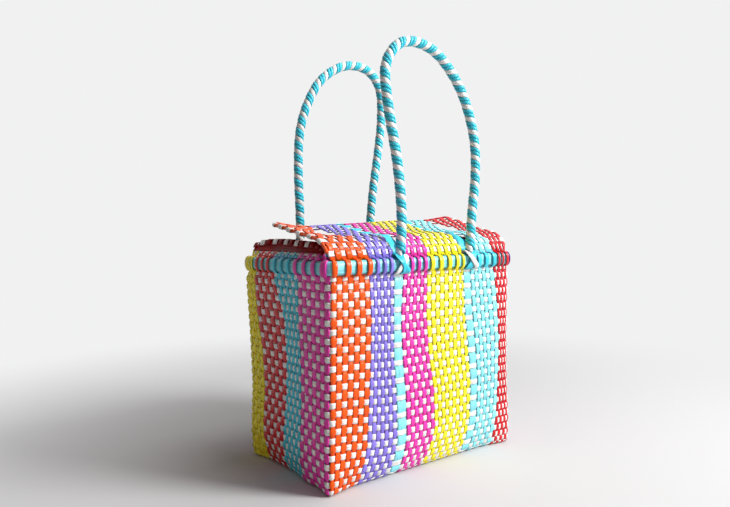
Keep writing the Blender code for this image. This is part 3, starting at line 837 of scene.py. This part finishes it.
# The warps begin just inside the hinge and turn back at the free edge
LID_WARP_START = np.array((-2.2 * MM,))
FOLD_RADIUS, FOLD_RISE = 1.4 * MM, 1.3 * LID_WARP_SWING
FOLD_TURN = np.linspace(0, 1.2 * math.pi, 9)
# A cord along each side: way beyond the outer warp, way below the lid, half width and half height
EDGE_BEYOND, EDGE_DROP = 1.8 * MM, 1.2 * MM
EDGE_HALF_WIDTH, EDGE_HALF_HEIGHT = 2.1 * MM, 1.9 * MM
EDGE_START, EDGE_STATIONS = 7 * MM, 40
# Loops of the wefts' ends round the cord, or round a warp beside a slot: the same measures
LOOP_CLEARANCE = 0.75 * MM
CORD_LOOP = (EDGE_BEYOND, EDGE_DROP, EDGE_HALF_WIDTH + LOOP_CLEARANCE, EDGE_HALF_HEIGHT + LOOP_CLEARANCE)
WARP_LOOP = (-0.6 * MM, 0.5 * MM, 0.6 * MM + LOOP_CLEARANCE, LID_SWING + 0.5 * MM)
LOOP_TURN, LOOP_TAIL = np.linspace(0, 1.1 * math.pi, 10), np.array((2.0, 4.0)) * MM
CORD_LOOP_WIDTH = 9.6 * MM
CUT_SHORT, CUT_DEPTH = 1.2 * MM, 0.9 * LID_SWING
# The back part sags unevenly and the left corner curls up: places across, and rises at the free edge, in mm
LID_SAG_PLACES = (-147.5, -135, -119, -100, -60, 0, 50, 75, 115, 132, 147.5)
LID_SAGS = (3.0, 0.2, -3.1, -4.6, -4.4, -4.8, -4.4, -5.6, -5.8, -4.0, -2.4)
LID_SAG_START, LID_SAG_SPAN = 24 * MM, 60 * MM
LID_CURVE = curve_through(LID_LINE, 300) * MM
LID_RUN, LID_HEADINGS = distances(LID_CURVE), headings(LID_CURVE)
LID_LENGTH = LID_RUN[-1]
LID_WAYS = np.linspace(0, LID_LENGTH, 60)


def lid_surface(x, way, out):
    """The lid: place across, way back from the hinge, out from the middle of its thickness."""
    (back, up), (run_back, rise) = at(way, LID_RUN, LID_CURVE), at(way, LID_RUN, LID_HEADINGS)
    past = np.clip(back - (LID_REACH - LID_CORNER_RADIUS), 0, LID_CORNER_RADIUS)
    half = LID_HALF_WIDTH - LID_CORNER_RADIUS + np.sqrt(LID_CORNER_RADIUS ** 2 - past ** 2)
    share = x / LID_HALF_WIDTH
    shorten = 1 - (1 - LID_RIGHT_REACH) * (share + 1) / 2
    lift = LID_RIGHT_LIFT * share * back / LID_REACH
    sag = np.interp(x / MM, LID_SAG_PLACES, LID_SAGS) * MM
    lift = lift + sag * smooth((way - LID_SAG_START) / LID_SAG_SPAN)
    beyond = way - np.clip(way, 0, LID_LENGTH)
    right = LID_RIGHT_SWELL * smooth((x - SWELL_FROM) / (LID_HALF_WIDTH - SWELL_FROM))
    return np.stack((
        share * half + right,
        LID_AXIS_Y + (back + run_back * beyond) * shorten - rise * out,
        LID_AXIS_Z + up + rise * beyond + lift + run_back * out,
    ), axis=-1)


def notch_surface(x, way, out):
    setback = np.interp(way / MM, NOTCH_WAYS, NOTCH_SETBACKS) * MM
    return lid_surface(x, way, out) + np.stack((0 * way, setback, 0 * way), axis=-1)


def lid_columns():
    """Edges of each lid column at LID_WAYS, spread apart round the slots and beside the notches."""
    edges = column_edges(FRONT_COLUMNS, boundaries(LID_EDGES, LID_END, LID_WAYS))
    numbers = np.arange(FRONT_COUNT)[:, None, None]
    lens = np.clip(1 - ((LID_WAYS - SLOT_BACK) / SLOT_HALF_LENGTH) ** 2, 0, None) * SLOT_HALF_WIDTH
    for column in SLOT_COLUMNS:
        away = np.abs(edges - edges[column, 0]) / SLOT_SPREAD
        edges += np.where(numbers >= column, 1, -1) * lens * np.exp(-away)
    notch = smooth((NOTCH_END + NOTCH_FADE - LID_WAYS) / NOTCH_FADE)
    for column, (left, right) in NOTCH_SIDES.items():
        middle, half = edges[column].mean(axis=0), (edges[column, 1] - edges[column, 0]) / 2
        push = np.maximum(np.where(numbers > column, right, left) - half, 0) * notch
        away = (np.abs(edges - middle) - half) / NOTCH_SPREAD
        edges += np.sign(numbers - column) * push * np.exp(-away)
    return edges


def weft_end(edge, sign, over, cord, width):
    """A weft's end: round the cord beyond the outer warp, or round that warp beside a slot, or cut under it."""
    if not over:
        return np.array(((edge - sign * CUT_SHORT,), (-CUT_DEPTH,), (width,)))
    beyond, drop, half_width, half_height = CORD_LOOP if cord else WARP_LOOP
    middle = edge + sign * beyond
    places = np.concatenate((middle + sign * half_width * np.sin(LOOP_TURN), middle - sign * LOOP_TAIL))
    heights = np.concatenate((half_height * np.cos(LOOP_TURN) - drop, np.full(2, -drop - half_height)))
    return np.stack((places, heights, width + 0 * places))


def looped(marks, over, edges, cords, usual):
    """A lid weft with both its ends: ways along, heights and widths. It is broad where it goes round a cord."""
    along, height = wave_stations(marks, over)
    ends = [weft_end(edge, sign, at_top, cord, CORD_LOOP_WIDTH if cord else usual)
            for edge, sign, at_top, cord in zip(edges, (-1, 1), (over, height[-1] > 0), cords)]
    return np.concatenate((ends[0][:, ::-1], (along, LID_SWING * height, usual + 0 * along), ends[1]), axis=1)


def weave_lid_warp(mesh, c, edges, rows):
    strap = c in NOTCH_SIDES
    marks, start = (rows[rows > NOTCH_END], NOTCH_STARTS) if strap else (rows, LID_WARP_START)
    along, height = wave_stations(marks, c % 2 == (0 if strap else 1))
    fold = (FOLD_RISE if height[-1] > 0 else -FOLD_RISE) * np.cos(FOLD_TURN)
    along = np.concatenate((start, along, LID_LENGTH - FOLD_RADIUS + FOLD_RADIUS * np.sin(FOLD_TURN)))
    out = np.concatenate((0 * start, LID_WARP_SWING * height, fold))
    height = np.concatenate((0 * start, height, 0 * FOLD_TURN))
    low, high = (np.interp(along, LID_WAYS, edge) for edge in edges[c])
    width = warp_width(high - low, height, *LID_WARP_WIDTHS)
    middle = (low + high) / 2
    if strap:
        left, right = NOTCH_SIDES[c]
        share = np.interp(start, NOTCH_FILL_WAYS, (1, 0))
        width[:len(start)] = NOTCH_NARROW + (left + right + 2 * NOTCH_OVERLAP - NOTCH_NARROW) * share
        middle[:len(start)] += (right - left) / 2 * share
    ribbon(mesh, notch_surface if strap else lid_surface, middle, along, out, width)


def weft_spans(way):
    """The spans of warps that a lid weft crosses, between the slots and notches."""
    breaks = []
    if abs(way - SLOT_BACK) < SLOT_CUT:
        breaks += [(column + SLOT_FIRST, column + SLOT_NEXT) for column in SLOT_COLUMNS]
    if way < NOTCH_END:
        breaks += [(column, column + 1) for column in (LEFT_STRAP, RIGHT_STRAP)]
    stops, resumes = zip(*sorted(breaks)) if breaks else ((), ())
    return zip((0, *resumes), (*stops, FRONT_COUNT))


def weave_lid():
    edges = lid_columns()
    rows = (np.arange(LID_ROWS) + 0.5) * (LID_LENGTH / LID_ROWS)
    for name, numbers in numbered(FRONT_COLUMNS):
        mesh = Mesh()
        for c in numbers:
            weave_lid_warp(mesh, c, edges, rows)
        if name in ("orange", "red"):
            way = np.linspace(EDGE_START, LID_LENGTH, EDGE_STATIONS)
            middle = (LID_HALF_WIDTH + EDGE_BEYOND) * (-1 if name == "orange" else 1)
            ribbon(mesh, lid_surface, middle, way, -EDGE_DROP + 0 * way, 2 * EDGE_HALF_WIDTH, 2 * EDGE_HALF_HEIGHT)
        colour = "pale_turquoise" if name == "turquoise" else "turquoise" if "strap" in name else name
        mesh.make("lid_" + name, colour, "lid_panel", "lid")

    mesh = Mesh()
    for k, way in enumerate(rows):
        cuts = np.array([[np.interp(way, LID_WAYS, line) for line in edge] for edge in edges])
        usual = LID_FRONT_WEFT if k < LID_FRONT_ROWS else LID_BACK_WEFT
        for begin, stop in weft_spans(way):
            cords = (begin == 0 and way > EDGE_START, stop == FRONT_COUNT and way > EDGE_START)
            marks, ends = cuts[begin:stop].mean(axis=1), (cuts[begin, 0], cuts[stop - 1, 1])
            along, out, width = looped(marks, (begin + k) % 2 == 0, ends, cords, usual)
            ribbon(mesh, turned(lid_surface), way, along, out, width, LID_WEFT_THICKNESS)
    mesh.make("lid_white_wefts", "white", "lid_panel", "lid")


# Flaps

FLAP_AXIS_X = HALF_X - 2.5 * MM
FLAP_AXIS_Z = RIM_TOP + 2 * MM
FLAP_LEAN = math.radians(50)
# Outline: places back from the front wall, and how far the flap reaches there
FLAP_BACKS = np.array((18, 30, 50, 80, 110, 145, 168, 178, 183)) * MM
FLAP_REACHES = np.array((16, 21, 23, 24, 26, 26, 24, 20, 13)) * MM
FLAP_FRONT, FLAP_BACK = FLAP_BACKS[0] - HALF_Y, FLAP_BACKS[-1] - HALF_Y
FLAP_DEEPEST, FLAP_CURL = 26 * MM, 1.5 * MM
# The left flap's far end turns outward: by how much, from where, over what length, and over what reach
FLAP_TURN, TURN_FROM, TURN_SPAN, TURN_REACH = 5 * MM, 35 * MM, 50 * MM, 9 * MM
# Warps that run on from the side wall, and the white weft across them
FLAP_MARGIN = 3 * MM
FLAP_WARP_FILL, FLAP_SWING = 0.95, 0.7 * MM
FLAP_WARP_WAYS, ARCH_END = np.linspace(-1.3 * MM, 11 * MM, 9), 9.5 * MM
FLAP_ARCH = FLAP_SWING * np.sin(math.pi * np.clip(FLAP_WARP_WAYS / ARCH_END, 0, 1))
FLAP_WEFT_REACH, FLAP_WEFT_WIDTH = 5.0 * MM, 4.2 * MM
# Loops over the free edge: how many, how many are red at the front, and their shape
BIND_LOOPS, BIND_RED_FIRST = 13, 3
BIND_END, BIND_INSET = 5 * MM, 1.2 * MM
BIND_TURN = np.linspace(-0.25 * math.pi, 1.25 * math.pi, 15)
BIND_BEYOND, BIND_TAIL = 2.4 * MM, 9 * MM
BIND_HEIGHT, BIND_SLANT = 2.0 * MM, 4.5 * MM
BIND_WIDTH, BIND_THICKNESS = 9.4 * MM, 0.9 * MM
# Red strips along the flap: shares of its reach. Every second one is raised
FLAP_STRIP_SHARES = (0.34, 0.52, 0.70, 0.88)
FLAP_STRIP_END, FLAP_STRIP_STATIONS = 1.5 * MM, 60
FLAP_STRIP_SHIFT, FLAP_STRIP_RISE, FLAP_STRIP_WIDTH = 1.0 * MM, 0.5 * MM, 5.6 * MM


def flap_surface(facing):
    """A side flap: place from front to back, reach from the hinge, out."""
    def surface(y, reach, out):
        cosine, sine = math.cos(FLAP_LEAN), math.sin(FLAP_LEAN)
        sag = FLAP_CURL * np.sin(math.pi * np.clip(reach / FLAP_DEEPEST, 0, 1))
        up = reach * sine - sag * cosine + out * cosine
        inward = reach * cosine + sag * sine - out * sine
        turn = (facing < 0) * FLAP_TURN * smooth((y - TURN_FROM) / TURN_SPAN) * np.clip(reach / TURN_REACH, 0, 1)
        x, z = facing * (FLAP_AXIS_X - inward + turn), FLAP_AXIS_Z + up
        shift_x, shift_y = swell(x, y, RIM_TOP + 0 * x)
        return np.stack((x + shift_x, y + shift_y, z), axis=-1)
    return surface


def flap_reach(y):
    return np.interp(y + HALF_Y, FLAP_BACKS, FLAP_REACHES)


def bind_edge(red, white, surface):
    """The free edge is bound by broad slanted loops, red and white in turn, all red near the front."""
    for number in range(BIND_LOOPS):
        y = FLAP_FRONT + BIND_END + (FLAP_BACK - FLAP_FRONT - 2 * BIND_END) * number / (BIND_LOOPS - 1)
        beyond = np.where(np.sin(BIND_TURN) < 0, BIND_TAIL, BIND_BEYOND)
        along = flap_reach(y) - BIND_INSET + beyond * np.sin(BIND_TURN)
        out, slant = BIND_HEIGHT * np.cos(BIND_TURN), BIND_SLANT * np.cos(BIND_TURN)
        mesh = red if number % 2 == 0 or number < BIND_RED_FIRST else white
        ribbon(mesh, surface, y + slant, along, out, BIND_WIDTH, BIND_THICKNESS)


def weave_flap(side, facing):
    surface = flap_surface(facing)
    body, node = side + "_flap", side + "_side_flap"
    warps = LEFT_WARPS if side == "left" else RIGHT_WARPS
    centres = [centre(warp, RIM_TOP) for warp in warps]
    inside = [m for m, y in enumerate(centres) if FLAP_FRONT + FLAP_MARGIN < y < FLAP_BACK - FLAP_MARGIN]
    for name, numbers in numbered(SIDE_COLUMNS):
        mesh = Mesh()
        for m in (m for m in numbers if m in inside):
            low, high = (read(edge, RIM_TOP) for edge in warps[m])
            out = FLAP_ARCH if m % 2 == 0 else -FLAP_ARCH
            ribbon(mesh, surface, (low + high) / 2, FLAP_WARP_WAYS, out, (high - low) * FLAP_WARP_FILL)
        if mesh.count:
            mesh.make(side + "_flap_" + name, name, node, body)

    white, red = Mesh(), Mesh()
    along, height = wave_stations([centres[m] for m in inside], inside[0] % 2 == 1)
    ribbon(white, turned(surface), FLAP_WEFT_REACH, along, FLAP_SWING * height, FLAP_WEFT_WIDTH)
    bind_edge(red, white, surface)
    way = np.linspace(FLAP_FRONT + FLAP_STRIP_END, FLAP_BACK - FLAP_STRIP_END, FLAP_STRIP_STATIONS)
    for number, share in enumerate(FLAP_STRIP_SHARES):
        rise = FLAP_STRIP_RISE * (1 - number % 2)
        ribbon(red, turned(surface), flap_reach(way) * share + FLAP_STRIP_SHIFT, way, rise + 0 * way,
               FLAP_STRIP_WIDTH)
    white.make(side + "_flap_white", "white", node, body)
    # Its red strips and loops take the darker flap red, painted shade from the lid over the flap
    red.make(side + "_flap_dark_red", "shade_darkened_red", node, body)


# Stage

CAMERA_PLACE = (-0.56249, -0.70549, 0.31565)
CAMERA_YAW, CAMERA_PITCH, CAMERA_ROLL = (math.radians(angle) for angle in (37.2286, 2.5432, 0.7058))
SENSOR_WIDTH = 36.0
FOCAL_PIXELS, IMAGE_WIDTH = 648.3, 730
CLIP_END = 50.0
# Lamps: place, point they look at, size and power
LAMPS = {
    "key": ((1.1, -1.5, 1.2), (0, 0, 0.15), 0.8, 60),
    "top": ((0.4, -0.3, 1.9), (0, 0, 0.1), 1.0, 14),
}
AMBIENT = 0.165
AMBIENT_COLOUR = (1.0, 0.9, 0.86, 1)
BACKDROP = (0.88, 0.88, 0.885, 1)
FLOOR_REACH, FLOOR_FADE = 12.0, (0.2, 1.1)
FLOOR_COLOUR, FLOOR_ROUGHNESS, FLOOR_GLOSS = (0.6, 0.6, 0.605, 1), 0.8, 0.1


def set_camera():
    camera = add_object("camera", bpy.data.cameras.new("camera"))
    turn = (Matrix.Rotation(-CAMERA_YAW, 4, "Z") @ Matrix.Rotation(math.pi / 2 - CAMERA_PITCH, 4, "X")
            @ Matrix.Rotation(-CAMERA_ROLL, 4, "Z"))
    camera.matrix_world = Matrix.Translation(CAMERA_PLACE) @ turn
    camera.data.sensor_width = SENSOR_WIDTH
    camera.data.lens = FOCAL_PIXELS * SENSOR_WIDTH / IMAGE_WIDTH
    camera.data.clip_end = CLIP_END
    scene.camera = camera


def seen_rays(tree):
    """1 for rays that see the backdrop directly, in a reflection or through something clear."""
    path = tree.nodes.new("ShaderNodeLightPath")
    total = path.outputs["Is Camera Ray"]
    for name in ("Is Glossy Ray", "Is Transmission Ray"):
        total = add_node(tree, "Math", {0: total, 1: path.outputs[name]}, "ADD")
        total.use_clamp = True
    return total


def floor_material():
    """Pale floor that fades into the backdrop away from the object."""
    material, tree, shader = new_material("floor_white")
    look = {"Base Color": FLOOR_COLOUR, "Roughness": FLOOR_ROUGHNESS, "Specular IOR Level": FLOOR_GLOSS}
    feed(tree, shader, look)
    place = tree.nodes.new("ShaderNodeTexCoord")
    distance = add_node(tree, "VectorMath", {0: place.outputs["Object"]}, "LENGTH")
    fade = add_node(tree, "MapRange", {
        "Value": distance.outputs["Value"], "From Min": FLOOR_FADE[0], "From Max": FLOOR_FADE[1],
    })
    fade.interpolation_type = "SMOOTHSTEP"
    share = add_node(tree, "Math", {0: fade, 1: seen_rays(tree)}, "MULTIPLY")
    glow = add_node(tree, "Emission", {"Color": BACKDROP})
    mix = add_node(tree, "MixShader", {"Fac": share, 1: shader, 2: glow})
    feed(tree, tree.nodes["Material Output"], {"Surface": mix})
    return material


def set_stage():
    mesh = bpy.data.meshes.new("floor")
    corners = [(x * FLOOR_REACH, y * FLOOR_REACH, 0) for x, y in ((-1, -1), (1, -1), (1, 1), (-1, 1))]
    mesh.from_pydata(corners, [], [(0, 1, 2, 3)])
    mesh.materials.append(floor_material())
    floor = add_object("floor", mesh)

    world = bpy.data.worlds.new("studio")
    scene.world = world
    world.use_nodes = True
    tree = world.node_tree
    tree.nodes.clear()
    ambient = add_node(tree, "Background", {"Color": AMBIENT_COLOUR, "Strength": AMBIENT})
    backdrop = add_node(tree, "Background", {"Color": BACKDROP})
    mix = add_node(tree, "MixShader", {"Fac": seen_rays(tree), 1: ambient, 2: backdrop})
    add_node(tree, "OutputWorld", {"Surface": mix})

    for name, (place, target, size, power) in LAMPS.items():
        lamp = bpy.data.lights.new(name, "AREA")
        lamp.shape, lamp.size, lamp.energy = "DISK", size, power
        obj = add_object(name, lamp)
        obj.location = place
        obj.rotation_euler = (Vector(target) - Vector(place)).to_track_quat("-Z", "Y").to_euler()
    scene.view_settings.view_transform = "Standard"


set_camera()
weave_warps()
weave_wefts()
wrap_rim()
wrap_handle("front_handle", FRONT_HANDLE_LINE, -FOOT_Y, FRONT_LEAN)
wrap_handle("back_handle", BACK_HANDLE_LINE, FOOT_Y, BACK_LEAN)
dress_cores()
tie_knots()
weave_lid()
weave_flap("left", -1)
weave_flap("right", 1)
set_stage()
